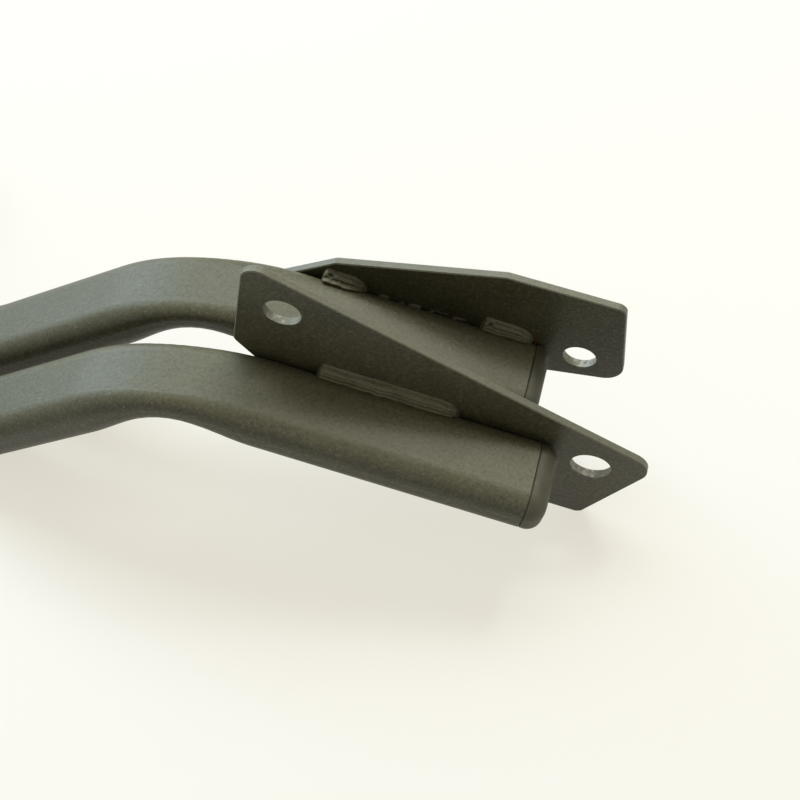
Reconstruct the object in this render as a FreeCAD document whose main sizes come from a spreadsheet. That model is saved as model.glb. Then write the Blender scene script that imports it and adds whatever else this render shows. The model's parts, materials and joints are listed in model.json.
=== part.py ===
import FreeCAD, Part
import math
import os
import Sketcher

# Motorcycle luggage rack: two bent flat-oval rails, each with a bolt-on plate welded to its front
# end, joined at the back by three flat cross bars. X points to the front, Y to the left, Z up.
# The origin is the middle of the luggage bolt pattern, on top of the cross bars.

# Driving sizes, in millimetres and degrees
SIZES = {
    "tube_width": 25,
    "tube_height": 15,
    "tube_corner": 6,
    "tube_wall": 1.5,
    "rail_spacing": 31.5,
    "front_length": 79.1,
    "left_end_setback": 8.1,
    "front_slope": 15,
    "crown_radius": 73.4,
    "crown_flattening": 5,
    "crown_narrowing": 2.8,
    "crown_pinch_lean": 0.93,
    "leg_slope": 33.7,
    "leg_length": 56,
    "heel_radius": 40,
    "run_length": 220,
    "plate_thickness": 2.5,
    "plate_edge_break": 0.3,
    "right_rear_hole_size": 11,
    "right_front_hole_size": 12,
    "left_hole_size": 10,
    "right_rear_top_x": -93.4,
    "right_rear_top_z": 38.8,
    "right_rear_low_x": -92.2,
    "right_rear_low_z": 1.2,
    "right_belly_x": -77.5,
    "right_belly_z": -12,
    "right_keel_x": 6.5,
    "right_keel_z": -37.2,
    "right_toe_x": 20.5,
    "right_toe_z": -37.2,
    "right_tip_x": 34,
    "right_tip_z": -1.1,
    "right_rear_hole_x": -80.2,
    "right_rear_hole_z": 21.6,
    "right_front_hole_x": 16.3,
    "right_front_hole_z": -9,
    "left_rear_tip_x": -87.5,
    "left_rear_tip_z": -9.9,
    "left_rear_top_x": -71.2,
    "left_rear_top_z": 5.6,
    "left_mid_top_x": -23.3,
    "left_mid_top_z": 23.6,
    "left_front_top_x": 11.6,
    "left_front_top_z": 25,
    "left_front_low_x": 20.4,
    "left_front_low_z": -9.3,
    "left_belly_x": -10.5,
    "left_belly_z": -18.2,
    "left_rear_low_x": -76,
    "left_rear_low_z": -18.2,
    "left_hole_x": 5.45,
    "left_hole_z": -3.7,
    "large_corner": 8,
    "middle_corner": 6.5,
    "upper_corner": 4.6,
    "small_corner": 3,
    "right_plug_head": 6,
    "right_plug_rim_round": 4.5,
    "left_plug_head": 5,
    "left_plug_rim_round": 3.6,
    "plug_seam_break": 0.5,
    "plug_insert": 14,
    "plug_wall": 1.6,
    "plug_core_gap": 1.2,
    "plug_fin_gap": 0.1,
    "plug_fin_thickness": 1,
    "plug_fin_pitch": 4,
    "plug_fin_count": 3,
    "plate_weld_root_angle": 25,
    "plate_weld_toe_angle": 66,
    "plate_weld_rise": 1.3,
    "plate_weld_crown": 6,
    "bar_width": 30,
    "bar_length": 200,
    "bar_thickness": 4,
    "bar_end_inset": 40,
    "bar_corner": 8,
    "luggage_hole": 6.6,
    "luggage_hole_inset": 15,
    "bar_weld_leg": 3.4,
    "bar_weld_crown": 4.5,
    "bar_weld_inset": 1,
}

# Weld stitches along the rails' front ends: name, rail, side, start and length
PLATE_WELDS = {
    "right_upper_weld": ("right", "upper", -66.8, 42.3),
    "right_lower_weld": ("right", "lower", -60, 40),
    "left_rear_weld": ("left", "upper", -74, 14),
    "left_front_weld": ("left", "upper", -25.4, 16.3),
    "left_lower_weld": ("left", "lower", -60, 40),
}

CROWN_STEPS = 8
X_AXIS = FreeCAD.Vector(1, 0, 0)
Y_AXIS = FreeCAD.Vector(0, 1, 0)
Z_AXIS = FreeCAD.Vector(0, 0, 1)
TINY = 0.01

doc = FreeCAD.newDocument("luggage_rack")
sheet = doc.addObject("Spreadsheet::Sheet", "Sizes")


def fill_sheet():
    """Write every driving size into the sheet under its own alias."""
    rows = dict(SIZES)
    for weld, (_, _, start, length) in PLATE_WELDS.items():
        rows[weld + "_start"] = start
        rows[weld + "_length"] = length
    for row, (alias, number) in enumerate(rows.items(), start=1):
        sheet.set(f"A{row}", alias)
        sheet.set(f"B{row}", str(number))
        sheet.setAlias(f"B{row}", alias)
    doc.recompute()


def cell(name):
    """A sheet value as it is written in an expression."""
    return f"Sizes.{name}"


# Sizes and places that several pieces share, as expressions of the driving sizes
TUBE_SIZE = (cell("tube_width"), cell("tube_height"), cell("tube_corner"))
HALF_HEIGHT = f"({cell('tube_height')} / 2)"
FLANK_HALF = f"({HALF_HEIGHT} - {cell('tube_corner')})"
CROWN_MID = f"({cell('crown_radius')} - {HALF_HEIGHT})"
TURN = f"({CROWN_MID} + {cell('heel_radius')})"
HEEL_X = f"(-{TURN} * sin({cell('leg_slope')}) - {cell('leg_length')} * cos({cell('leg_slope')}))"
HEEL_Z = f"({TURN} * cos({cell('leg_slope')}) - {cell('leg_length')} * sin({cell('leg_slope')}))"
RUN_MID_Z = f"(-{cell('bar_thickness')} - {HALF_HEIGHT})"
CROWN_X = f"({cell('run_length')} / 2 - {HEEL_X})"
CROWN_Z = f"({RUN_MID_Z} + {cell('heel_radius')} - {HEEL_Z})"
END_X = f"({CROWN_X} + {cell('front_length')} * cos({cell('front_slope')}))"
END_Z = f"({CROWN_Z} - {cell('front_length')} * sin({cell('front_slope')}))"
SIDE_Y = {
    "right": f"(-{cell('rail_spacing')} / 2)",
    "left": f"({cell('rail_spacing')} / 2)",
}
END_SETBACK = {
    "right": "0",
    "left": cell("left_end_setback"),
}


def end_place(depth):
    """Point at the rail's front end, this far from the crown's centre along the end's own normal."""
    across = f"{END_X} + {depth} * sin({cell('front_slope')})"
    upward = f"{END_Z} + {depth} * cos({cell('front_slope')})"
    return across, upward


def add_body(label):
    body = doc.addObject("PartDesign::Body", label)
    body.Label = label
    return body


def place(body, x, y, z, axis=Y_AXIS, angle="0"):
    """Bind a body's place and its turn about one axis to expressions."""
    body.Placement = FreeCAD.Placement(FreeCAD.Vector(), FreeCAD.Rotation(axis, 1))
    body.setExpression("Placement.Base.x", x)
    body.setExpression("Placement.Base.y", y)
    body.setExpression("Placement.Base.z", z)
    body.setExpression("Placement.Rotation.Angle", angle)


def add_sketch(body, name, role):
    """A sketch on one of the body's own origin planes."""
    sketch = body.newObject("Sketcher::SketchObject", name)
    plane = next(f for f in body.Origin.OriginFeatures if f.Role == role)
    sketch.AttachmentSupport = [(plane, "")]
    sketch.MapMode = "FlatFace"
    return sketch


def dimension(sketch, name, kind, *places, expression, start):
    """One named dimension of a sketch, bound to an expression."""
    sketch.addConstraint(Sketcher.Constraint(kind, *places, start))
    sketch.renameConstraint(sketch.ConstraintCount - 1, name)
    sketch.setExpression(f"Constraints.{name}", expression)


def draw_oval(sketch, name, width, height, corner, middle, guess):
    """Flat oval with round corners, centred on the sketch's upright axis, its middle this far up."""
    guess_width, guess_height, guess_corner, guess_middle = guess
    reach = guess_width / 2
    rise = guess_height / 2
    quarter = math.pi / 2
    arcs = []
    for turn, (across, upward) in enumerate([(1, 1), (-1, 1), (-1, -1), (1, -1)]):
        centre = FreeCAD.Vector(
            across * (reach - guess_corner), guess_middle + upward * (rise - guess_corner), 0)
        circle = Part.Circle(centre, Z_AXIS, guess_corner)
        arcs.append(Part.ArcOfCircle(circle, turn * quarter, (turn + 1) * quarter))
    loop = []
    for arc, following in zip(arcs, arcs[1:] + arcs[:1]):
        loop.append(sketch.addGeometry(arc))
        loop.append(sketch.addGeometry(Part.LineSegment(arc.EndPoint, following.StartPoint)))
    for first, second in zip(loop, loop[1:] + loop[:1]):
        sketch.addConstraint(Sketcher.Constraint("Tangent", first, 2, second, 1))
    first_arc = loop[0]
    for arc in loop[2::2]:
        sketch.addConstraint(Sketcher.Constraint("Equal", first_arc, arc))
    top, left, base, right = loop[1::2]
    for line in (top, base):
        sketch.addConstraint(Sketcher.Constraint("Horizontal", line))
    for line in (left, right):
        sketch.addConstraint(Sketcher.Constraint("Vertical", line))
    half_width = f"({width}) / 2"
    high = f"{middle} + ({height}) / 2"
    low = f"{middle} - ({height}) / 2"
    dimension(sketch, name + "_round", "Radius", first_arc, expression=corner, start=guess_corner)
    dimension(sketch, name + "_right", "DistanceX", -1, 1, right, 1, expression=half_width, start=reach)
    dimension(sketch, name + "_left", "DistanceX", left, 1, -1, 1, expression=half_width, start=reach)
    dimension(sketch, name + "_top", "DistanceY", -1, 1, top, 1, expression=high, start=guess_middle + rise)
    dimension(sketch, name + "_base", "DistanceY", -1, 1, base, 1, expression=low, start=guess_middle - rise)


def draw_inset_oval(sketch, name, size, inset, middle, guess_inset, guess_middle):
    """A flat oval that lies this far inside another one, given by its width, height and corner."""
    width, height, corner = size
    guess = (
        SIZES["tube_width"] - 2 * guess_inset, SIZES["tube_height"] - 2 * guess_inset,
        SIZES["tube_corner"] - guess_inset, guess_middle)
    inset_size = (f"{width} - 2 * {inset}", f"{height} - 2 * {inset}", f"{corner} - {inset}")
    draw_oval(sketch, name, *inset_size, middle, guess)


def draw_tube(sketch, size, middle, guess_middle):
    """The tube's section: outer and inner flat ovals one wall apart."""
    draw_inset_oval(sketch, "outer", size, "0", middle, 0, guess_middle)
    draw_inset_oval(sketch, "inner", size, cell("tube_wall"), middle, SIZES["tube_wall"], guess_middle)


def draw_polygon(sketch, corners):
    """Closed outline through named corners, each with its own x and z in the sheet."""
    corners = [(name + "_x", name + "_z") for name in corners]
    points = [FreeCAD.Vector(SIZES[x], SIZES[z], 0) for x, z in corners]
    lines = []
    for start, end in zip(points, points[1:] + points[:1]):
        lines.append(sketch.addGeometry(Part.LineSegment(start, end)))
    for line, following in zip(lines, lines[1:] + lines[:1]):
        sketch.addConstraint(Sketcher.Constraint("Coincident", line, 2, following, 1))
    for line, (x, z) in zip(lines, corners):
        dimension(sketch, x, "DistanceX", -1, 1, line, 1, expression=cell(x), start=SIZES[x])
        dimension(sketch, z, "DistanceY", -1, 1, line, 1, expression=cell(z), start=SIZES[z])


def draw_hole(sketch, name, x, z, diameter, guess):
    guess_x, guess_z, guess_diameter = guess
    middle = FreeCAD.Vector(guess_x, guess_z, 0)
    ring = sketch.addGeometry(Part.Circle(middle, Z_AXIS, guess_diameter / 2))
    dimension(sketch, name + "_x", "DistanceX", -1, 1, ring, 3, expression=x, start=guess_x)
    dimension(sketch, name + "_z", "DistanceY", -1, 1, ring, 3, expression=z, start=guess_z)
    dimension(sketch, name + "_size", "Diameter", ring, expression=diameter, start=guess_diameter)


def add_pad(body, sketch, name, length, backwards=False, both_ways=False):
    pad = body.newObject("PartDesign::Pad", name)
    pad.Profile = sketch
    pad.Reversed = backwards
    if both_ways:
        pad.SideType = "Symmetric"
    pad.setExpression("Length", length)
    doc.recompute()
    return pad


def add_fillet(body, base, name, edges, radius):
    fillet = body.newObject("PartDesign::Fillet", name)
    fillet.Base = (base, edges)
    fillet.setExpression("Radius", radius)
    doc.recompute()
    return fillet


def add_chamfer(body, base, name, edges, width):
    chamfer = body.newObject("PartDesign::Chamfer", name)
    chamfer.Base = (base, edges)
    chamfer.setExpression("Size", width)
    doc.recompute()
    return chamfer


def edges_where(feature, test):
    """Names of the feature's edges that pass a test."""
    return [f"Edge{i}" for i, edge in enumerate(feature.Shape.Edges, start=1) if test(edge)]


def turn_sketch(sketch, angle, up="0", along="0"):
    """Tip a section sketch about the rail's cross axis and move it within the rail's own plane."""
    sketch.AttachmentOffset = FreeCAD.Placement(FreeCAD.Vector(), FreeCAD.Rotation(X_AXIS, 1))
    sketch.setExpression("AttachmentOffset.Base.y", up)
    sketch.setExpression("AttachmentOffset.Base.z", along)
    sketch.setExpression("AttachmentOffset.Rotation.Angle", angle)


# Rails: a straight front end, a crown bend that is squeezed flatter and narrower in its middle, a straight
# leg, a heel bend and the straight run that carries the cross bars. The body's origin is the crown's centre.
def make_rail(side):
    body = add_body(side + "_rail")
    place(body, CROWN_X, SIDE_Y[side], CROWN_Z)
    crown_guess = SIZES["crown_radius"] - SIZES["tube_height"] / 2
    stations = []
    for step in range(CROWN_STEPS + 1):
        share = step / CROWN_STEPS
        sketch = add_sketch(body, f"{side}_crown_{step}", "YZ_Plane")
        angle = f"{cell('front_slope')} - {share} * ({cell('front_slope')} + {cell('leg_slope')})"
        turn_sketch(sketch, angle)
        squeeze = f"sin(180 * {share} ^ {cell('crown_pinch_lean')}) ^ 2"
        width = f"({cell('tube_width')} - {cell('crown_narrowing')} * {squeeze})"
        height = f"({cell('tube_height')} - {cell('crown_flattening')} * {squeeze})"
        corner = f"({cell('tube_corner')} * {height} / {cell('tube_height')})"
        draw_tube(sketch, (width, height, corner), f"({cell('crown_radius')} - {height} / 2)", crown_guess)
        stations.append(sketch)
    doc.recompute()
    crown = body.newObject("PartDesign::AdditiveLoft", side + "_crown")
    crown.Profile = stations[0]
    crown.Sections = stations[1:]
    doc.recompute()
    add_pad(body, stations[0], side + "_front_end", f"{cell('front_length')} - {END_SETBACK[side]}")
    add_pad(body, stations[-1], side + "_leg", cell("leg_length"), backwards=True)

    run_middle = f"-{cell('heel_radius')}"
    heel_sketch = add_sketch(body, side + "_heel_section", "YZ_Plane")
    turn_sketch(heel_sketch, f"-{cell('leg_slope')}", HEEL_Z, HEEL_X)
    draw_tube(heel_sketch, TUBE_SIZE, run_middle, -SIZES["heel_radius"])
    doc.recompute()
    heel = body.newObject("PartDesign::Revolution", side + "_heel")
    heel.Profile = heel_sketch
    heel.ReferenceAxis = (heel_sketch, ["H_Axis"])
    heel.setExpression("Angle", cell("leg_slope"))
    doc.recompute()

    run_sketch = add_sketch(body, side + "_run_section", "YZ_Plane")
    turn_sketch(run_sketch, "0", HEEL_Z, HEEL_X)
    draw_tube(run_sketch, TUBE_SIZE, run_middle, -SIZES["heel_radius"])
    add_pad(body, run_sketch, side + "_run", cell("run_length"), backwards=True)
    return body


# Mounting plates: flat plates on the left flank of each rail's front end. The body's origin is
# the top of the rail's end, with X along the rail and Y away from the flank.
def make_plate(side, corners, rounds, holes):
    body = add_body(side + "_mounting_plate")
    top_x, top_z = end_place(cell("crown_radius"))
    place(body, top_x, f"{SIDE_Y[side]} + {cell('tube_width')} / 2", top_z, angle=cell("front_slope"))
    sketch = add_sketch(body, side + "_plate_outline", "XZ_Plane")
    draw_polygon(sketch, corners)
    for hole in holes:
        x, z = hole + "_x", hole + "_z"
        guess = (SIZES[x], SIZES[z], SIZES[hole + "_size"])
        draw_hole(sketch, hole, cell(x), cell(z), cell(hole + "_size"), guess)
    feature = add_pad(body, sketch, side + "_plate", cell("plate_thickness"), backwards=True)
    for radius, names in rounds.items():
        spots = [(SIZES[name + "_x"], SIZES[name + "_z"]) for name in names]

        def at_corner(edge):
            upright = edge.Vertexes[0].Point - edge.Vertexes[-1].Point
            middle = edge.CenterOfMass
            near = any(abs(middle.x - x) < TINY and abs(middle.z - z) < TINY for x, z in spots)
            return near and abs(upright.y) > TINY
        feature = add_fillet(body, feature, f"{side}_{radius}", edges_where(feature, at_corner), cell(radius))

    def on_rim(edge):
        heights = {round(v.Y / SIZES["plate_thickness"], 4) for v in edge.Vertexes}
        return len(edge.Vertexes) == 2 and heights in ({0}, {1})
    add_chamfer(body, feature, side + "_plate_rim", edges_where(feature, on_rim), cell("plate_edge_break"))
    return body


# Plugs: moulded caps pushed into the rails' open ends. The body's origin is the middle of the
# tube's end face, with X outwards.
def make_plug(side, end):
    name = f"{side}_{end}_plug"
    body = add_body(name)
    if end == "front":
        across, upward = end_place(CROWN_MID)
        back = f"{END_SETBACK[side]} * cos({cell('front_slope')})"
        lift = f"{END_SETBACK[side]} * sin({cell('front_slope')})"
        place(body, f"{across} - {back}", SIDE_Y[side], f"{upward} + {lift}", angle=cell("front_slope"))
    else:
        place(body, f"-{cell('run_length')} / 2", SIDE_Y[side], RUN_MID_Z, axis=Z_AXIS, angle="180")

    def add_oval(label, inset, guess_inset, hole=None, guess_hole=0):
        sketch = add_sketch(body, f"{name}_{label}", "YZ_Plane")
        draw_inset_oval(sketch, "outer", TUBE_SIZE, inset, "0", guess_inset, 0)
        if hole:
            draw_inset_oval(sketch, "inner", TUBE_SIZE, hole, "0", guess_hole, 0)
        return sketch

    head = side + "_plug_head"
    head_sketch = add_oval("head_outline", "0", 0)
    feature = add_pad(body, head_sketch, name + "_head", cell(head))
    outer_rim = edges_where(feature, lambda e: all(abs(v.X - SIZES[head]) < TINY for v in e.Vertexes))
    feature = add_fillet(body, feature, name + "_dome", outer_rim, cell(side + "_plug_rim_round"))
    seam_rim = edges_where(feature, lambda e: all(abs(v.X) < TINY for v in e.Vertexes))
    add_chamfer(body, feature, name + "_seam", seam_rim, cell("plug_seam_break"))

    core_gap = f"({cell('tube_wall')} + {cell('plug_core_gap')})"
    sleeve_gap = f"({core_gap} + {cell('plug_wall')})"
    core_guess = SIZES["tube_wall"] + SIZES["plug_core_gap"]
    sleeve = add_oval("sleeve_section", core_gap, core_guess, sleeve_gap, core_guess + SIZES["plug_wall"])
    add_pad(body, sleeve, name + "_sleeve", cell("plug_insert"), backwards=True)
    fin_gap = f"({cell('tube_wall')} + {cell('plug_fin_gap')})"
    fin = add_oval("fin_section", fin_gap, SIZES["tube_wall"] + SIZES["plug_fin_gap"], core_gap, core_guess)
    fin.setExpression("AttachmentOffset.Base.z", f"-{cell('plug_fin_pitch')} / 2")
    first_fin = add_pad(body, fin, name + "_fin", cell("plug_fin_thickness"), backwards=True)
    fins = body.newObject("PartDesign::LinearPattern", name + "_fins")
    fins.Originals = [first_fin]
    fins.Direction = (fin, ["N_Axis"])
    fins.Reversed = True
    fins.setExpression("Length", f"{cell('plug_fin_pitch')} * ({cell('plug_fin_count')} - 1)")
    fins.setExpression("Occurrences", cell("plug_fin_count"))
    body.Tip = fins
    doc.recompute()
    return body


# Plate welds: beads that fill the groove between a rail's round flank and its plate. The section's
# origin is the line where tube and plate touch, and its upright axis is the plate's face.
def make_plate_weld(name):
    side, groove, _, _ = PLATE_WELDS[name]
    body = add_body(name)
    touch_x, touch_z = end_place(CROWN_MID)
    place(body, touch_x, f"{SIDE_Y[side]} + {cell('tube_width')} / 2", touch_z, angle=cell("front_slope"))
    sketch = add_sketch(body, name + "_section", "YZ_Plane")
    sketch.setExpression("AttachmentOffset.Base.z", cell(name + "_start"))

    # Arcs run counter-clockwise, so a lower bead starts each arc at its other end
    up, first, last = (1, 1, 2) if groove == "upper" else (-1, 2, 1)
    radius = SIZES["tube_corner"]
    flank_half = SIZES["tube_height"] / 2 - radius
    round_middle = FreeCAD.Vector(-radius, up * flank_half, 0)
    reach = FreeCAD.Vector(radius, 0, 0)
    root_angle = SIZES["plate_weld_root_angle"]
    toe_angle = SIZES["plate_weld_toe_angle"]
    root, middle, toe = [
        round_middle + FreeCAD.Rotation(Z_AXIS, up * angle).multVec(reach)
        for angle in (root_angle, (root_angle + toe_angle) / 2, toe_angle)]
    plate_top = FreeCAD.Vector(0, up * (SIZES["tube_height"] / 2 + SIZES["plate_weld_rise"]), 0)
    plate_root = FreeCAD.Vector(0, root.y, 0)
    crown = (toe + plate_top) / 2 + FreeCAD.Vector(-1, 2 * up, 0) * (SIZES["plate_weld_crown"] / 8)
    tube_points = [root, middle, toe]
    crown_points = [plate_top, crown, toe]
    tube_arc = sketch.addGeometry(Part.Arc(*tube_points[::up]))
    crown_arc = sketch.addGeometry(Part.Arc(*crown_points[::up]))
    face_line = sketch.addGeometry(Part.LineSegment(plate_top, plate_root))
    root_line = sketch.addGeometry(Part.LineSegment(plate_root, root))
    meetings = [
        (tube_arc, last, crown_arc, last), (crown_arc, first, face_line, 1),
        (face_line, 2, root_line, 1), (root_line, 2, tube_arc, first)]
    for meeting in meetings:
        sketch.addConstraint(Sketcher.Constraint("Coincident", *meeting))
    sketch.addConstraint(Sketcher.Constraint("PointOnObject", face_line, 1, -2))
    sketch.addConstraint(Sketcher.Constraint("PointOnObject", face_line, 2, -2))
    sketch.addConstraint(Sketcher.Constraint("Horizontal", root_line))
    corner = cell("tube_corner")
    dimension(sketch, "tube_round", "Radius", tube_arc, expression=corner, start=radius)
    dimension(sketch, "round_across", "DistanceX", tube_arc, 3, -1, 1, expression=corner, start=radius)
    dimension(
        sketch, "round_up", "DistanceY", -1, 1, tube_arc, 3, start=round_middle.y,
        expression=f"{up} * {FLANK_HALF}")
    dimension(
        sketch, "root_height", "DistanceY", -1, 1, tube_arc, first, start=root.y,
        expression=f"{up} * ({FLANK_HALF} + {corner} * sin({cell('plate_weld_root_angle')}))")
    dimension(
        sketch, "toe_height", "DistanceY", -1, 1, tube_arc, last, start=toe.y,
        expression=f"{up} * ({FLANK_HALF} + {corner} * sin({cell('plate_weld_toe_angle')}))")
    dimension(
        sketch, "face_height", "DistanceY", -1, 1, face_line, 1, start=plate_top.y,
        expression=f"{up} * ({HALF_HEIGHT} + {cell('plate_weld_rise')})")
    dimension(
        sketch, "crown_round", "Radius", crown_arc, start=SIZES["plate_weld_crown"],
        expression=cell("plate_weld_crown"))
    add_pad(body, sketch, name + "_bead", cell(name + "_length"))
    return body


# Cross bars: flat bars across both rails that carry the luggage, with a bolt hole near each end
def make_bar(name, shift):
    body = add_body(name + "_cross_bar")
    place(body, shift, "0", "0")
    sketch = add_sketch(body, name + "_bar_outline", "XY_Plane")
    half_width = SIZES["bar_width"] / 2
    half_length = SIZES["bar_length"] / 2
    corners = [
        FreeCAD.Vector(half_width, half_length, 0), FreeCAD.Vector(-half_width, half_length, 0),
        FreeCAD.Vector(-half_width, -half_length, 0), FreeCAD.Vector(half_width, -half_length, 0)]
    lines = [
        sketch.addGeometry(Part.LineSegment(start, end))
        for start, end in zip(corners, corners[1:] + corners[:1])]
    for line, following in zip(lines, lines[1:] + lines[:1]):
        sketch.addConstraint(Sketcher.Constraint("Coincident", line, 2, following, 1))
    for line, direction in zip(lines, ("Horizontal", "Vertical", "Horizontal", "Vertical")):
        sketch.addConstraint(Sketcher.Constraint(direction, line))
    edge_x = f"{cell('bar_width')} / 2"
    edge_y = f"{cell('bar_length')} / 2"
    dimension(sketch, "front", "DistanceX", -1, 1, lines[0], 1, expression=edge_x, start=half_width)
    dimension(sketch, "back", "DistanceX", lines[2], 1, -1, 1, expression=edge_x, start=half_width)
    dimension(sketch, "left", "DistanceY", -1, 1, lines[0], 1, expression=edge_y, start=half_length)
    dimension(sketch, "right", "DistanceY", lines[2], 1, -1, 1, expression=edge_y, start=half_length)
    hole_guess = half_length - SIZES["luggage_hole_inset"]
    for label, sign in (("left_hole", 1), ("right_hole", -1)):
        hole_y = f"{sign} * ({cell('bar_length')} / 2 - {cell('luggage_hole_inset')})"
        guess = (0, sign * hole_guess, SIZES["luggage_hole"])
        draw_hole(sketch, label, "0", hole_y, cell("luggage_hole"), guess)
    bar = add_pad(body, sketch, name + "_bar", cell("bar_thickness"), backwards=True)
    uprights = edges_where(
        bar, lambda e: len(e.Vertexes) == 2 and abs(e.Vertexes[0].Z - e.Vertexes[1].Z) > TINY
        and isinstance(e.Curve, Part.Line) and abs(abs(e.CenterOfMass.y) - half_length) < TINY)
    rounded = add_fillet(body, bar, name + "_bar_corners", uprights, cell("bar_corner"))

    def on_rim(edge):
        heights = {round(v.Z / SIZES["bar_thickness"], 4) for v in edge.Vertexes}
        return len(edge.Vertexes) == 2 and heights in ({0}, {-1})
    add_chamfer(body, rounded, name + "_bar_rim", edges_where(rounded, on_rim), cell("plate_edge_break"))
    return body


# Bar welds: fillet beads along a bar's two long edges, on the flat top of each rail
def make_bar_weld(bar, shift, side, edge):
    name = f"{bar}_bar_{side}_{edge}_weld"
    body = add_body(name)
    sign, turn = (1, "0") if edge == "front" else (-1, "180")
    edge_x = f"{shift} + {sign} * {cell('bar_width')} / 2"
    place(body, edge_x, SIDE_Y[side], f"-{cell('bar_thickness')}", axis=Z_AXIS, angle=turn)
    sketch = add_sketch(body, name + "_section", "XZ_Plane")
    leg = SIZES["bar_weld_leg"]
    corner = FreeCAD.Vector()
    toe = FreeCAD.Vector(leg, 0, 0)
    top = FreeCAD.Vector(0, leg, 0)
    swell = (toe + top) * 0.6
    foot_line = sketch.addGeometry(Part.LineSegment(corner, toe))
    crown_arc = sketch.addGeometry(Part.Arc(toe, swell, top))
    side_line = sketch.addGeometry(Part.LineSegment(top, corner))
    meetings = [(foot_line, 2, crown_arc, 1), (crown_arc, 2, side_line, 1), (side_line, 2, foot_line, 1)]
    for meeting in meetings:
        sketch.addConstraint(Sketcher.Constraint("Coincident", *meeting))
    sketch.addConstraint(Sketcher.Constraint("Coincident", foot_line, 1, -1, 1))
    sketch.addConstraint(Sketcher.Constraint("Horizontal", foot_line))
    sketch.addConstraint(Sketcher.Constraint("Vertical", side_line))
    bead = cell("bar_weld_leg")
    dimension(sketch, "foot", "DistanceX", -1, 1, foot_line, 2, expression=bead, start=leg)
    dimension(sketch, "rise", "DistanceY", -1, 1, side_line, 1, expression=bead, start=leg)
    dimension(
        sketch, "crown_round", "Radius", crown_arc, start=SIZES["bar_weld_crown"],
        expression=cell("bar_weld_crown"))
    flat_top = f"{cell('tube_width')} - 2 * {cell('tube_corner')} - {cell('bar_weld_inset')}"
    add_pad(body, sketch, name + "_bead", flat_top, both_ways=True)
    return body


def check_and_write(bodies):
    """Stop on any failed object, then write each piece to its own file."""
    doc.recompute()
    failed = [o.Name for o in doc.Objects if "Invalid" in o.State or "Error" in o.State]
    for body in bodies:
        if body.Shape.isNull() or not body.Shape.isValid() or len(body.Shape.Solids) != 1:
            failed.append(body.Label)
    if failed:
        raise RuntimeError("failed: " + ", ".join(failed))
    os.makedirs("parts", exist_ok=True)
    for body in bodies:
        body.Shape.exportStep(f"parts/{body.Label}.step")
        print(f"{body.Label}: {body.Shape.Volume:.0f} mm3")


RIGHT_CORNERS = ["right_rear_top", "right_rear_low", "right_belly", "right_keel", "right_toe", "right_tip"]
RIGHT_ROUNDS = {
    "large_corner": ["right_belly", "right_keel"],
    "middle_corner": ["right_tip"],
    "upper_corner": ["right_rear_top"],
    "small_corner": ["right_rear_low", "right_toe"],
}
LEFT_CORNERS = [
    "left_rear_tip", "left_rear_top", "left_mid_top", "left_front_top",
    "left_front_low", "left_belly", "left_rear_low"]
LEFT_ROUNDS = {
    "large_corner": ["left_belly", "left_rear_low"],
    "middle_corner": ["left_front_low"],
    "small_corner": ["left_rear_tip", "left_rear_top", "left_mid_top", "left_front_top"],
}
BAR_PITCH = f"({cell('run_length')} / 2 - {cell('bar_end_inset')})"
BAR_SHIFTS = {
    "front": BAR_PITCH,
    "middle": "0",
    "rear": f"-{BAR_PITCH}",
}

fill_sheet()
pieces = []
for side in SIDE_Y:
    pieces.append(make_rail(side))
pieces.append(make_plate("right", RIGHT_CORNERS, RIGHT_ROUNDS, ["right_rear_hole", "right_front_hole"]))
pieces.append(make_plate("left", LEFT_CORNERS, LEFT_ROUNDS, ["left_hole"]))
for side in SIDE_Y:
    for end in ("front", "rear"):
        pieces.append(make_plug(side, end))
for weld in PLATE_WELDS:
    pieces.append(make_plate_weld(weld))
for bar, shift in BAR_SHIFTS.items():
    pieces.append(make_bar(bar, shift))
    for side in SIDE_Y:
        for edge in ("front", "rear"):
            pieces.append(make_bar_weld(bar, shift, side, edge))
check_and_write(pieces)
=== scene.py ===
import json
import math

import bpy
from mathutils import Matrix, Vector, noise


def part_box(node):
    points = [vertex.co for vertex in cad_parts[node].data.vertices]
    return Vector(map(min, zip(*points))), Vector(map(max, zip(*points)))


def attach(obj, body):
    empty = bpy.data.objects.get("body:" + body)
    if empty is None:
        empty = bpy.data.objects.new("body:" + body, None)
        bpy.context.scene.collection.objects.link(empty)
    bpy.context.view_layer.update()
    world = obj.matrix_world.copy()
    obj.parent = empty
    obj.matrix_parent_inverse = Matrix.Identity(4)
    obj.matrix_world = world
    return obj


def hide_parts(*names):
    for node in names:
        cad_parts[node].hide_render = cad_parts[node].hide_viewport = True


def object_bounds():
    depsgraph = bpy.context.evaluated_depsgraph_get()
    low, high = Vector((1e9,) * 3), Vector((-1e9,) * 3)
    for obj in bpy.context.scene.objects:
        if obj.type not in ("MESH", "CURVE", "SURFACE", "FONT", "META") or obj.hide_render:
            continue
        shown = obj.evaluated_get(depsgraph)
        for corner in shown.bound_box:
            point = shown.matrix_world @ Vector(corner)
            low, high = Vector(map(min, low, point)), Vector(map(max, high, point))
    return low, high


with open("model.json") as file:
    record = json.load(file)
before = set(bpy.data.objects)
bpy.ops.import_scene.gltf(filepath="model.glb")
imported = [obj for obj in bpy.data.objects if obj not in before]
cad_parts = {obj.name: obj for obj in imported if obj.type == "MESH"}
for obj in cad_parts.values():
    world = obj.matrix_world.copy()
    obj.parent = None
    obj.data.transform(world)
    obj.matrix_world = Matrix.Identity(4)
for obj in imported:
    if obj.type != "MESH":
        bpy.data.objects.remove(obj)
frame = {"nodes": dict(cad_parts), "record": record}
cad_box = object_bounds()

# Lengths are in metres, angles in degrees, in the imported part's own frame
MM = 0.001
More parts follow.
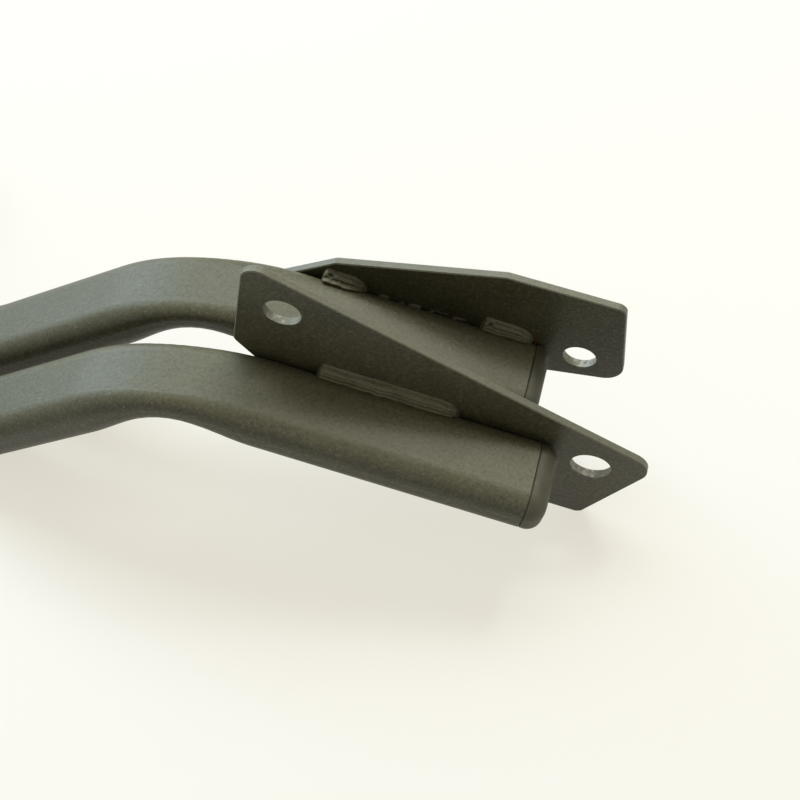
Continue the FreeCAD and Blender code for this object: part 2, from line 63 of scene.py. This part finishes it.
NODES = frame["nodes"]
MOUNTS = {mount["name"]: mount for mount in frame["record"]["mounts"]}

# Camera, as the photograph was taken: tilted a little, looking steeply down on the rack's front end
CAMERA_PLACE = (0.36708, -0.26027, 0.45016)
CAMERA_DOWN = 56.887
CAMERA_HEADING = 20.869
CAMERA_ROLL = -8.523
LENS = 79.444
SENSOR = 36.0

# Studio: a pale table in a white room. The glow share is how far the table shows its own brightness
FLOOR_SIZE = 40.0
FLOOR_COLOUR = (0.84, 0.88, 0.97, 1)
FLOOR_ROUGHNESS = 0.75
FLOOR_GLOW = (1.0, 0.96, 0.84, 1)
FLOOR_GLOW_SHARE = 0.66
WHITE = (1, 1, 1, 1)
ROOM_COLOUR = (1.0, 0.90, 0.68, 1)
ROOM_LIGHT = 0.40

# Lamps: place, size across, power and colour; each aims at the rack's front end
RACK_FRONT = Vector((0.29, 0.0, 0.0))
LAMPS = {
    "key": ((0.634, 0.583, 0.99), 0.20, 2.0, (1.0, 0.98, 0.94)),
    "panel": ((0.43, 0.70, 1.20), 0.75, 7.0, (1.0, 0.98, 0.82)),
    "skylight": ((-0.20, 0.70, 1.11), 0.75, 7.0, (0.82, 0.94, 1.0)),
    "window": ((-0.99, 0.80, 0.56), 1.2, 14.0, (0.66, 0.87, 1.0)),
}

# Powder coat: base colours, roughness of dark and light patches, bump strength and depth, the noise range
# from dark to light patches, and how high its swells and the streaks on beads stand against its grain
COAT_DARK = (0.043, 0.041, 0.022, 1)
COAT_LIGHT = (0.062, 0.059, 0.033, 1)
COAT_EDGE = (0.20, 0.20, 0.165, 1)
COAT_SHEEN = 0.31
COAT_ROUGHNESS = (0.40, 0.48)
COAT_BUMP = (0.60, 0.16 * MM)
COAT_PATCHES = (0.35, 0.68)
SWELL_HEIGHT = 0.7
STREAK_HEIGHT = 2.0

# Moulded plugs, in the same terms
PLASTIC_DARK = (0.056, 0.054, 0.034, 1)
PLASTIC_LIGHT = (0.082, 0.079, 0.052, 1)
PLUG_ROUGHNESS = (0.46, 0.58)
PLUG_BUMP = (0.18, 0.08 * MM)
PLUG_PATCHES = (0.35, 0.70)

# Layers over a finish: where its mask begins to show, where it is full, its share there and its colour
# Painted light: the faces that look up are made paler, as light from above would make them
PAINTED_TOP_LIGHT = (0.35, 0.95, 0.60, (0.128, 0.125, 0.078, 1))
GRAIN = (0.50, 0.74, 0.42, (0.17, 0.165, 0.110, 1))
PITS = (0.46, 0.30, 0.42, (0.012, 0.012, 0.007, 1))
DUST = (0.735, 0.765, 0.50, COAT_EDGE)
# Painted highlight: pale flecks along the edge where a rail's top meets its flank
SHOULDER_GLINTS = (0.60, 0.68, 0.35, COAT_EDGE)
# Painted highlight: the plates' cut edges are made paler, broken up by scuffs
CUT_EDGE_HIGHLIGHT = (0.95, 0.55, 1.0, COAT_EDGE)
RUST_SPOT = (0.95, 1.35, 0.70, (0.12, 0.040, 0.020, 1))
SEAM_FLECKS = (0.48, 0.56, 0.80, (0.36, 0.35, 0.24, 1))
OLIVE_STREAKS = (0.40, 0.60, 0.60, (0.115, 0.112, 0.060, 1))
BROWN_STREAKS = (0.45, 0.32, 0.60, (0.085, 0.058, 0.030, 1))
PLUG_SCUFFS = (0.60, 0.76, 0.40, (0.16, 0.155, 0.128, 1))

# Noise scales, in cells a metre
PATCH_SCALE = 38
GRAIN_SCALE = 1000
SWELL_SCALE = 420
DUST_SCALE = 760
SHOULDER_SCALE = 950
EDGE_SCALE = 1500
CHIP_SCALE = 820
SPOT_SCALE = 700
SEAM_SCALE = 300
STREAK_SCALE = 900
STREAK_STRETCH = 8
PLUG_PATCH_SCALE = 120
PLUG_SCUFF_SCALE = 310
PLUG_GRAIN_SCALE = 900

# The rails' shoulders, by how far the surface faces sideways: limits towards the top and towards the flank
SHOULDER_INSIDE = (0.40, 0.60)
SHOULDER_OUTSIDE = (0.92, 0.75)

# Scuffs that break up the painted highlight on the plates' cut edges: how much noise shows, over an even
# base
SCUFF_GAIN = 0.9
SCUFF_BASE = 0.05

# Worn bolt holes: share of bare wall, the side where it is most bare, and how far chips run past the rim
HOLE_WEAR = {
    "right_rear_bolt": (0.05, (-0.7, 0, -0.7), 0.6 * MM),
    "right_front_bolt": (0.05, (-0.4, 0, -0.9), 0.8 * MM),
    "left_front_bolt": (0.35, (0.6, 0, -0.8), 0.3 * MM),
}
HOLE_RIM = 0.1 * MM
# Metal is bare where noise passes a limit. The limit drops with the share of bare wall, and the noise gains
# on the worn side
BARE_SIDE = (0.2, 0.9)
BARE_SIDE_GAIN = 0.14
BARE_LIMIT = 0.68
BARE_LIMIT_DROP = 0.36
BARE_BLUR = 0.06
BARE_METAL = (0.23, 0.225, 0.205, 1)
BARE_ROUGHNESS = 0.5
BARE_METALLIC = 0.4
CHIPS = (0.42, 0.70)

# Marks on the left plate: a rust spot by its front stitch and flecks in the seam between its two stitches
FRONT_STITCH = "left_front_weld"
REAR_STITCH = "left_rear_weld"
RUST_INSET = 1.5 * MM
RUST_REACH = (3.2 * MM, 0.8 * MM)
SEAM_HEIGHT = 1.35 * MM
SEAM_BLUR = 0.7
SEAM_FADE = 4 * MM
SEAM_DEPTH = 0.1 * MM

# Weld beads: they run along the rails' sloping front ends, or across the rails beside the cross bars
FRONT_SLOPE = 15
BEAD_STEP = 0.3 * MM
BEAD_SIDES = 24
# Ends: a blunt start, a long fade, and the share of the section that is left at the very ends
BEAD_START = 1.4 * MM
BEAD_FADE = 7.0 * MM
BEAD_STUB = 0.06
# Face: its bulge, which leans to the foot and comes in lumps, and how far foot and head spread past the
# packed bead. On the plates the head also creeps up. The forms below sway along the bead, and grit covers it
BEAD_BULGE = 0.55 * MM
BEAD_LEAN = 0.7
BEAD_LUMPS = 0.7
BEAD_SPREAD = 0.45 * MM
BEAD_FOOT = 0.3
BEAD_HEAD = 0.2
BEAD_CREEP = 1.5 * MM
BEAD_SWAY = 0.06
BEAD_GRIT = 0.12 * MM
GRIT_SPREAD = 3
# Ripples across the bead, curved over its face and unevenly spaced
RIPPLE_PITCH = 1.7 * MM
RIPPLE = 0.13 * MM
RIPPLE_ARCH = 0.4
RIPPLE_DRIFT = 0.5
# A bead's lip along its foot, the groove above it and the hollow where it runs out on the plate or bar:
# share of the way up its face, width and height
BEAD_FORMS = [
    (0.17, 0.09, 0.50 * MM),
    (0.36, 0.09, -0.40 * MM),
    (0.86, 0.17, -0.45 * MM),
]
# Each way in which a bead is uneven: wavelength along it, and the noise track kept for it
BEAD_WAVES = {
    "foot": (3.1 * MM, 0),
    "head": (4.3 * MM, 5),
    "lump": (3.6 * MM, 9),
    "ripple": (5 * MM, 2),
    "sway": (6 * MM, 4),
    "grit": (0.9 * MM, 0),
}
TRACK_GAP = 11.3
TRACK_SLANT = 0.37
# A pore near the start of each stitch on the left plate
PORED_BEADS = [REAR_STITCH, FRONT_STITCH]
PORE_RADIUS = 0.60 * MM
PORE_DEPTH = 1.3 * MM
PORE_INSET = 2.6 * MM
PORE_PLACE = 0.55


class Graph:
    """A node tree, with short ways to add and join nodes."""

    def __init__(self, tree):
        self.tree = tree

    def join(self, value, socket):
        if isinstance(value, bpy.types.NodeSocket):
            self.tree.links.new(value, socket)
        else:
            socket.default_value = value

    def add(self, kind, inputs=None, **settings):
        node = self.tree.nodes.new(kind)
        for name, value in settings.items():
            setattr(node, name, value)
        for key, value in (inputs or {}).items():
            self.join(value, node.inputs[key])
        return node

    def math(self, operation, *values):
        inputs = dict(enumerate(values))
        return self.add("ShaderNodeMath", inputs, operation=operation).outputs[0]

    def vector(self, operation, *values):
        inputs = dict(enumerate(values))
        return self.add("ShaderNodeVectorMath", inputs, operation=operation).outputs

    def ramp(self, value, low, high):
        """0 at low, 1 at high, straight between them and held outside."""
        node = self.add("ShaderNodeMapRange", {
            "Value": value, "From Min": low, "From Max": high, "To Min": 0.0, "To Max": 1.0})
        return node.outputs["Result"]

    def blend(self, share, first, second, kind="FLOAT"):
        inputs = {"Factor": share, "A": first, "B": second}
        return self.add("ShaderNodeMix", inputs, data_type=kind).outputs["Result"]

    def mix(self, share, first, second):
        return self.blend(share, first, second, kind="RGBA")

    def seen_rays(self):
        """1 for the rays that show the background: those of the camera, of gloss and of glass."""
        path = self.add("ShaderNodeLightPath").outputs
        glossy = self.math("MAXIMUM", path["Is Camera Ray"], path["Is Glossy Ray"])
        return self.math("MAXIMUM", glossy, path["Is Transmission Ray"])

    def show(self, share, first, second, output):
        """Send a mix of two shaders to the tree's output node."""
        mixed = self.add("ShaderNodeMixShader", {0: share, 1: first.outputs[0], 2: second.outputs[0]})
        self.join(mixed.outputs[0], self.tree.nodes[output].inputs["Surface"])


class Finish(Graph):
    """A material, with ways to lay colours over each other."""

    def __init__(self, name):
        self.material = bpy.data.materials.new(name)
        self.material.use_nodes = True
        super().__init__(self.material.node_tree)
        self.shader = self.tree.nodes["Principled BSDF"]
        self.place = self.add("ShaderNodeTexCoord").outputs["Object"]

    def noise(self, scale, detail=3.0, roughness=0.55, place=None):
        node = self.add("ShaderNodeTexNoise", {
            "Vector": place or self.place, "Scale": scale, "Detail": detail, "Roughness": roughness})
        return node.outputs["Fac"]

    def direction(self, axis, kind="Normal"):
        """How far the surface faces along an axis, from -1 to 1."""
        normal = self.add("ShaderNodeNewGeometry").outputs[kind]
        return self.add("ShaderNodeSeparateXYZ", {0: normal}).outputs[axis]

    def layer(self, under, mask, kind, within=()):
        """A layer's colour over another colour, where its mask and all the given limits let it show."""
        begin, full, share, colour = kind
        cover = self.math("MULTIPLY", self.ramp(mask, begin, full), share)
        for limit in within:
            cover = self.math("MULTIPLY", cover, limit)
        return self.mix(cover, under, colour)

    def finish(self, colour, roughness, height, bump):
        strength, depth = bump
        raised = self.add("ShaderNodeBump", {"Strength": strength, "Distance": depth, "Height": height})
        self.join(colour, self.shader.inputs["Base Color"])
        self.join(roughness, self.shader.inputs["Roughness"])
        self.join(COAT_SHEEN, self.shader.inputs["Specular IOR Level"])
        self.join(raised.outputs["Normal"], self.shader.inputs["Normal"])
        return self.material


def coat_base(graph):
    """Powder coat: mottled dark olive-grey with a fine pebbled grain, and painted light that makes the faces
    that look up paler.
    Returns colour, roughness and height."""
    patches = graph.ramp(graph.noise(PATCH_SCALE, detail=4), *COAT_PATCHES)
    grain = graph.noise(GRAIN_SCALE, detail=2.5, roughness=0.7)
    colour = graph.mix(patches, COAT_DARK, COAT_LIGHT)
    # Painted light: paler colour on the faces that look up
    colour = graph.layer(colour, graph.direction("Z"), PAINTED_TOP_LIGHT)
    colour = graph.layer(colour, grain, GRAIN)
    colour = graph.layer(colour, grain, PITS)
    colour = graph.layer(colour, graph.noise(DUST_SCALE, detail=1), DUST)
    roughness = graph.blend(patches, *COAT_ROUGHNESS)
    swells = graph.math("MULTIPLY", graph.noise(SWELL_SCALE, detail=1), SWELL_HEIGHT)
    return colour, roughness, graph.math("ADD", grain, swells)


def tube_coat():
    """Coat on the rails and cross bars: pale flecks along the shoulders between top and flank are a painted
    highlight.
    """
    graph = Finish("powder_coat_tube")
    colour, roughness, height = coat_base(graph)
    sideways = graph.math("ABSOLUTE", graph.direction("Y"))
    shoulder = [graph.ramp(sideways, *SHOULDER_INSIDE), graph.ramp(sideways, *SHOULDER_OUTSIDE)]
    # Painted highlight in flecks along the shoulders
    colour = graph.layer(colour, graph.noise(SHOULDER_SCALE, detail=2), SHOULDER_GLINTS, shoulder)
    return graph.finish(colour, roughness, height, COAT_BUMP)


def wear_hole(graph, colour, roughness, mount):
    """Bare metal on a bolt hole's wall and in chips around its rim.
    Returns colour, roughness and metal share."""
    bare_share, side, chip_reach = HOLE_WEAR[mount["name"]]
    radius = mount["dims"]["r_mm"] * MM
    offset = graph.vector("SUBTRACT", graph.place, mount["pos_m"])[0]
    flat = graph.vector("MULTIPLY", offset, (1, 0, 1))[0]
    length = graph.vector("LENGTH", flat)["Value"]
    toward = graph.vector("DOT_PRODUCT", flat, Vector(side).normalized() / radius)["Value"]
    facing = graph.ramp(toward, *BARE_SIDE)
    chips = graph.ramp(graph.noise(CHIP_SCALE), *CHIPS)
    jag = graph.math("MULTIPLY", chips, graph.math("MULTIPLY", facing, chip_reach))
    inside = graph.math("LESS_THAN", length, graph.math("ADD", jag, radius + HOLE_RIM))
    spots = graph.math("ADD", graph.noise(SPOT_SCALE), graph.math("MULTIPLY", facing, BARE_SIDE_GAIN))
    limit = BARE_LIMIT - BARE_LIMIT_DROP * bare_share
    bare = graph.math("MULTIPLY", inside, graph.ramp(spots, limit, limit + BARE_BLUR))
    colour = graph.mix(bare, colour, BARE_METAL)
    roughness = graph.blend(bare, roughness, BARE_ROUGHNESS)
    return colour, roughness, graph.math("MULTIPLY", bare, BARE_METALLIC)


def bead_axes(node):
    """Directions along a bead, away from the plate or bar it stands against, and up from its root."""
    if "_bar_" in node:
        out = 1 if node.endswith("_front_weld") else -1
        return Vector((0, 1, 0)), Vector((out, 0, 0)), Vector((0, 0, 1))
    slope = math.radians(FRONT_SLOPE)
    along = Vector((math.cos(slope), 0, -math.sin(slope)))
    up = Vector((math.sin(slope), 0, math.cos(slope)))
    return along, Vector((0, -1, 0)), -up if "_lower_" in node else up


def bead_reach(node, direction):
    """Where a packed bead starts and ends along a direction."""
    places = [v.co.dot(direction) for v in NODES[node].data.vertices]
    return min(places), max(places)


def rust_mark(graph, colour):
    """A rust spot at the lower end of the front stitch."""
    low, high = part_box(FRONT_STITCH)
    point = (high[0] - RUST_INSET, high[1], low[2] + RUST_INSET)
    reach = graph.vector("DISTANCE", graph.place, point)["Value"]
    stain = graph.math("ADD", graph.ramp(reach, *RUST_REACH), graph.noise(SPOT_SCALE))
    return graph.layer(colour, stain, RUST_SPOT)


def seam_mark(graph, colour):
    """Light flecks in the seam between the two stitches, on the face that meets the rail."""
    axes = bead_axes(FRONT_STITCH)
    along, out, up = axes
    seam = bead_reach(FRONT_STITCH, up)[0]
    face = bead_reach(FRONT_STITCH, out)[0]
    start = bead_reach(REAR_STITCH, along)[1]
    end = bead_reach(FRONT_STITCH, along)[0]
    run, depth, rise = [graph.vector("DOT_PRODUCT", graph.place, axis)["Value"] for axis in axes]
    limits = [
        graph.ramp(rise, seam - SEAM_HEIGHT, seam - SEAM_BLUR * SEAM_HEIGHT),
        graph.ramp(rise, seam + SEAM_HEIGHT, seam + SEAM_BLUR * SEAM_HEIGHT),
        graph.ramp(run, start, start + SEAM_FADE),
        graph.ramp(run, end, end - SEAM_FADE),
        graph.math("GREATER_THAN", depth, face - SEAM_DEPTH),
    ]
    return graph.layer(colour, graph.noise(SEAM_SCALE, detail=4), SEAM_FLECKS, limits)


def plate_coat(name, mounts, marks=()):
    """Coat on a cut plate: a painted highlight on the cut edges broken up by scuffs, worn bolt holes and the
    marks that this plate has.
    """
    graph = Finish(name)
    colour, roughness, height = coat_base(graph)
    sideways = graph.math("ABSOLUTE", graph.direction("Y", kind="True Normal"))
    scuffs = graph.math("ADD", graph.math("MULTIPLY", graph.noise(EDGE_SCALE), SCUFF_GAIN), SCUFF_BASE)
    # Painted highlight on the cut edges, broken up by scuff noise
    colour = graph.layer(colour, sideways, CUT_EDGE_HIGHLIGHT, [scuffs])
    for mark in marks:
        colour = mark(graph, colour)
    metal = 0.0
    for mount in mounts:
        colour, roughness, bare = wear_hole(graph, colour, roughness, MOUNTS[mount])
        metal = graph.math("MAXIMUM", metal, bare)
    graph.join(metal, graph.shader.inputs["Metallic"])
    return graph.finish(colour, roughness, height, COAT_BUMP)


def weld_coat():
    """Coat over weld beads, streaked along them in olive and rusty brown."""
    graph = Finish("powder_coat_weld")
    colour, roughness, height = coat_base(graph)
    drawn_out = graph.add("ShaderNodeMapping", {
        "Vector": graph.place,
        "Rotation": (0, math.radians(FRONT_SLOPE), 0),
        "Scale": (STREAK_STRETCH, 1, 1),
    }, vector_type="TEXTURE")
    streaks = graph.noise(STREAK_SCALE, place=drawn_out.outputs["Vector"])
    colour = graph.layer(colour, streaks, OLIVE_STREAKS)
    colour = graph.layer(colour, streaks, BROWN_STREAKS)
    height = graph.math("ADD", height, graph.math("MULTIPLY", streaks, STREAK_HEIGHT))
    return graph.finish(colour, roughness, height, COAT_BUMP)


def plug_plastic():
    """Moulded plastic, slightly mottled and scuffed."""
    graph = Finish("moulded_plug")
    patches = graph.ramp(graph.noise(PLUG_PATCH_SCALE), *PLUG_PATCHES)
    colour = graph.mix(patches, PLASTIC_DARK, PLASTIC_LIGHT)
    colour = graph.layer(colour, graph.noise(PLUG_SCUFF_SCALE, detail=4), PLUG_SCUFFS)
    roughness = graph.blend(patches, *PLUG_ROUGHNESS)
    return graph.finish(colour, roughness, graph.noise(PLUG_GRAIN_SCALE, detail=2), PLUG_BUMP)


def add_object(name, data):
    item = bpy.data.objects.new(name, data)
    bpy.context.collection.objects.link(item)
    return item


def paint(piece, material):
    slots = piece.data.materials
    slots.clear()
    slots.append(material)


def wander(distance, kind, track):
    """A smooth random value about zero along a bead."""
    wave, offset = BEAD_WAVES[kind]
    return noise.noise(Vector((distance / wave, track + offset, TRACK_SLANT * (track + offset))))


def bead_section(node):
    """A packed bead's root, toe and top in the plane across it, the top drawn up a little on the plates."""
    _, out, up = bead_axes(node)
    points = [Vector((v.co.dot(out), v.co.dot(up))) for v in NODES[node].data.vertices]
    root = Vector((min(p.x for p in points), min(p.y for p in points)))
    toe = max(points, key=lambda p: p.x)
    top = max(points, key=lambda p: p.y)
    if "_bar_" not in node:
        top = top + Vector((0, BEAD_CREEP))
    return root, toe, top


def bead_height(distance, share, track):
    """How far a bead's face stands out from the straight line between its foot and its head."""
    arch = math.sin(math.pi * share ** BEAD_LEAN)
    lump = 1 + BEAD_LUMPS * wander(distance, "lump", track)
    drift = RIPPLE_ARCH * arch + RIPPLE_DRIFT * wander(distance, "ripple", track)
    ripple = abs(math.sin((distance / RIPPLE_PITCH + drift) * math.pi))
    grit = wander(distance, "grit", track + GRIT_SPREAD * share)
    height = arch * (BEAD_BULGE * lump + RIPPLE * ripple + BEAD_GRIT * grit)
    swayed = share + BEAD_SWAY * wander(distance, "sway", track)
    for place, width, rise in BEAD_FORMS:
        height += rise * math.exp(-((swayed - place) / width) ** 2)
    return height


def bead_points(node, track, rows):
    """Points of a bead's rings: each runs over its face from foot to head and back through its root."""
    along, out, up = bead_axes(node)
    start, end = bead_reach(node, along)
    root, toe, top = bead_section(node)
    chord = (top - toe).normalized()
    outward = Vector((chord.y, -chord.x))
    if outward.dot(toe - root) < 0:
        outward = -outward
    points = []
    for row in range(rows + 1):
        s = start + (end - start) * row / rows
        depth = min((s - start) / BEAD_START, (end - s) / BEAD_FADE, 1)
        swell = BEAD_STUB + (1 - BEAD_STUB) * math.sqrt(1 - (1 - depth) ** 2)
        foot = toe - chord * BEAD_SPREAD * (BEAD_FOOT + wander(s, "foot", track))
        head = top + chord * BEAD_SPREAD * (BEAD_HEAD + wander(s, "head", track))
        for side in range(BEAD_SIDES + 1):
            share = side / BEAD_SIDES
            height = bead_height(s, share, track)
            if node in PORED_BEADS:
                gap = math.hypot(s - start - PORE_INSET, (share - PORE_PLACE) * (head - foot).length)
                height -= PORE_DEPTH * math.exp(-(gap / PORE_RADIUS) ** 2)
            point = root + (foot.lerp(head, share) + outward * height - root) * swell
            points.append(along * s + out * point.x + up * point.y)
        points.append(along * s + out * root.x + up * root.y)
    return points


def ring_faces(rows, ring):
    """Faces between rings of points that follow each other, with a cap at each end."""
    faces = []
    for row in range(rows):
        for side in range(ring):
            here = row * ring + side
            beside = row * ring + (side + 1) % ring
            faces.append((here, beside, beside + ring, here + ring))
    faces.append(tuple(range(ring)))
    faces.append(tuple(reversed(range(rows * ring, (rows + 1) * ring))))
    return faces


def make_bead(node, track, material):
    """A lumpy, rippled weld bead with tapered ends, in place of the plain packed one."""
    start, end = bead_reach(node, bead_axes(node)[0])
    rows = math.ceil((end - start) / BEAD_STEP)
    mesh = bpy.data.meshes.new("bead_" + node)
    mesh.from_pydata(bead_points(node, track, rows), [], ring_faces(rows, BEAD_SIDES + 2))
    mesh.shade_smooth()
    bead = add_object("bead_" + node, mesh)
    paint(bead, material)
    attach(bead, "root")
    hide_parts(node)


def dress_nodes():
    coat = tube_coat()
    weld = weld_coat()
    plug = plug_plastic()
    plates = {
        "right_mounting_plate": plate_coat("right_plate_coat", ["right_rear_bolt", "right_front_bolt"]),
        "left_mounting_plate": plate_coat("left_plate_coat", ["left_front_bolt"], [rust_mark, seam_mark]),
    }
    for track, node in enumerate(sorted(NODES)):
        if node.endswith("_weld"):
            make_bead(node, TRACK_GAP * track, weld)
        elif node.endswith("_plug"):
            paint(NODES[node], plug)
        else:
            paint(NODES[node], plates.get(node, coat))


def make_floor(height):
    """A pale table top: it shows the rack's shadow softly, as a bright table does."""
    half = FLOOR_SIZE / 2
    mesh = bpy.data.meshes.new("floor")
    corners = [(-half, -half, height), (half, -half, height), (half, half, height), (-half, half, height)]
    mesh.from_pydata(corners, [], [range(4)])
    floor = add_object("floor", mesh)
    graph = Finish("table_top")
    graph.join(FLOOR_COLOUR, graph.shader.inputs["Base Color"])
    graph.join(FLOOR_ROUGHNESS, graph.shader.inputs["Roughness"])
    glow = graph.add("ShaderNodeEmission", {"Color": FLOOR_GLOW, "Strength": 1.0})
    share = graph.math("MULTIPLY", graph.seen_rays(), FLOOR_GLOW_SHARE)
    graph.show(share, graph.shader, glow, "Material Output")
    paint(floor, graph.material)


def make_world():
    """Weak warm light from all around; the room itself shows as white."""
    world = bpy.data.worlds.new("studio")
    bpy.context.scene.world = world
    world.use_nodes = True
    graph = Graph(world.node_tree)
    room = graph.tree.nodes["Background"]
    graph.join(ROOM_COLOUR, room.inputs["Color"])
    graph.join(ROOM_LIGHT, room.inputs["Strength"])
    white = graph.add("ShaderNodeBackground", {"Color": WHITE, "Strength": 1.0})
    graph.show(graph.seen_rays(), room, white, "World Output")


def make_lamps():
    for name, (place, across, power, colour) in LAMPS.items():
        data = bpy.data.lights.new(name, "AREA")
        data.shape = "DISK"
        data.size = across
        data.energy = power
        data.color = colour
        lamp = add_object(name, data)
        lamp.location = place
        lamp.rotation_euler = (RACK_FRONT - Vector(place)).to_track_quat("-Z", "Y").to_euler()


def make_camera():
    data = bpy.data.cameras.new("camera")
    data.sensor_width = SENSOR
    data.lens = LENS
    camera = add_object("camera", data)
    heading = Matrix.Rotation(math.radians(CAMERA_HEADING), 4, "Z")
    tip = Matrix.Rotation(math.radians(90 - CAMERA_DOWN), 4, "X")
    roll = Matrix.Rotation(math.radians(CAMERA_ROLL), 4, "Z")
    camera.matrix_world = Matrix.Translation(CAMERA_PLACE) @ heading @ tip @ roll
    bpy.context.scene.camera = camera


dress_nodes()
make_floor(cad_box[0][2])
make_world()
make_lamps()
make_camera()
bpy.context.scene.view_settings.view_transform = "Standard"
